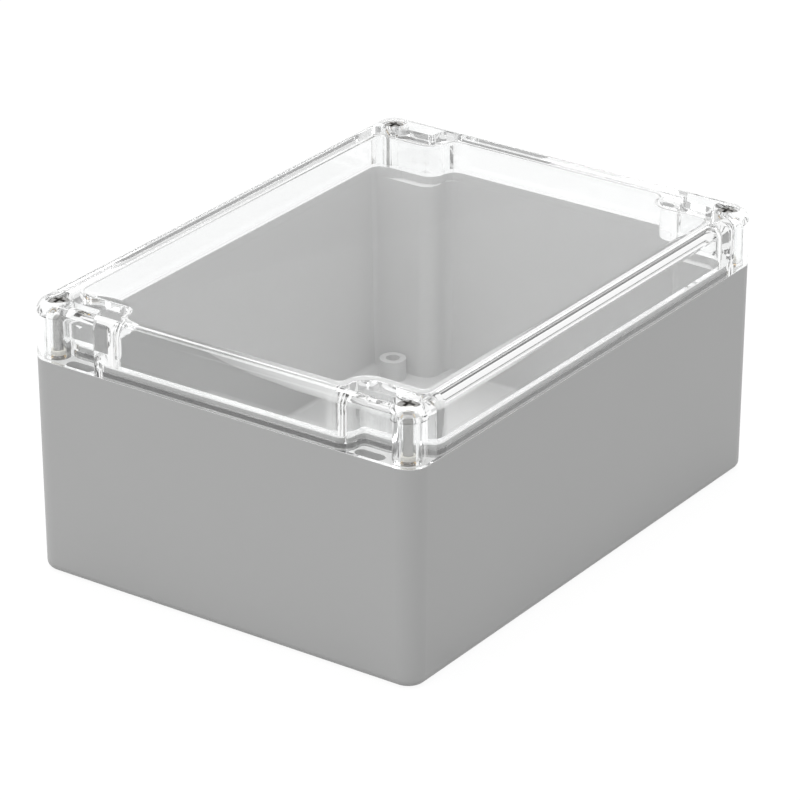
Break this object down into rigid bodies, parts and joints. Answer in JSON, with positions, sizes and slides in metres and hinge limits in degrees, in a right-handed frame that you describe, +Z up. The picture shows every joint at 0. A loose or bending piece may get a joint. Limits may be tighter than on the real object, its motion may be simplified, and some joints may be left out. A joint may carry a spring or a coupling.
{
  "type": "electronics enclosure",
  "caption": "Rectangular grey plastic enclosure with a clear lift-off lid, tongue-and-groove seal, captive corner screws, mounting slots outside the seal and board bosses inside.",
  "frame": {"origin": "middle of the underside", "axes": "+X along the length, +Y across the width, +Z up through the lid"},
  "size_m": [0.2, 0.15, 0.0954],
  "materials": {
    "housing": "fine moulded satin grey",
    "clear": "clear polished",
    "seal": "matt grey silicone",
    "steel": "polished stainless",
    "ring": "natural nylon",
    "brass": "turned"
  },
  "bodies": {
    "base": {"base": "housing", "gasket": "seal", "threaded_insert_1": "brass", "threaded_insert_2": "brass", "threaded_insert_3": "brass", "threaded_insert_4": "brass"},
    "lid": {"lid": "clear"},
    "ring_1": {"retaining_ring_1": "ring"},
    "screw_1": {"lid_screw_1": "steel"},
    "ring_2": {"retaining_ring_2": "ring"},
    "screw_2": {"lid_screw_2": "steel"},
    "ring_3": {"retaining_ring_3": "ring"},
    "screw_3": {"lid_screw_3": "steel"},
    "ring_4": {"retaining_ring_4": "ring"},
    "screw_4": {"lid_screw_4": "steel"}
  },
  "joints": [
    {"name": "lid_lift", "type": "slide", "parent": "base", "child": "lid", "axis": [0, 0, 1], "range_m": [0, 0.06]},
    {"name": "screw_1_rise", "type": "slide", "parent": "lid", "child": "ring_1", "axis": [0, 0, 1], "range_m": [0, 0.0063]},
    {"name": "screw_1_turn", "type": "hinge", "parent": "ring_1", "child": "screw_1", "pos_m": [-0.0926, -0.0676, 0.0954], "axis": [0, 0, 1], "range_deg": [0, 3240]},
    {"name": "screw_2_rise", "type": "slide", "parent": "lid", "child": "ring_2", "axis": [0, 0, 1], "range_m": [0, 0.0063]},
    {"name": "screw_2_turn", "type": "hinge", "parent": "ring_2", "child": "screw_2", "pos_m": [0.0926, -0.0676, 0.0954], "axis": [0, 0, 1], "range_deg": [0, 3240]},
    {"name": "screw_3_rise", "type": "slide", "parent": "lid", "child": "ring_3", "axis": [0, 0, 1], "range_m": [0, 0.0063]},
    {"name": "screw_3_turn", "type": "hinge", "parent": "ring_3", "child": "screw_3", "pos_m": [0.0926, 0.0676, 0.0954], "axis": [0, 0, 1], "range_deg": [0, 3240]},
    {"name": "screw_4_rise", "type": "slide", "parent": "lid", "child": "ring_4", "axis": [0, 0, 1], "range_m": [0, 0.0063]},
    {"name": "screw_4_turn", "type": "hinge", "parent": "ring_4", "child": "screw_4", "pos_m": [-0.0926, 0.0676, 0.0954], "axis": [0, 0, 1], "range_deg": [0, 3240]}
  ],
  "couplings": [
    {"joint": "screw_1_turn", "follows": "screw_1_rise", "rad_per_m": 8976},
    {"joint": "screw_2_turn", "follows": "screw_2_rise", "rad_per_m": 8976},
    {"joint": "screw_3_turn", "follows": "screw_3_rise", "rad_per_m": 8976},
    {"joint": "screw_4_turn", "follows": "screw_4_rise", "rad_per_m": 8976}
  ]
}
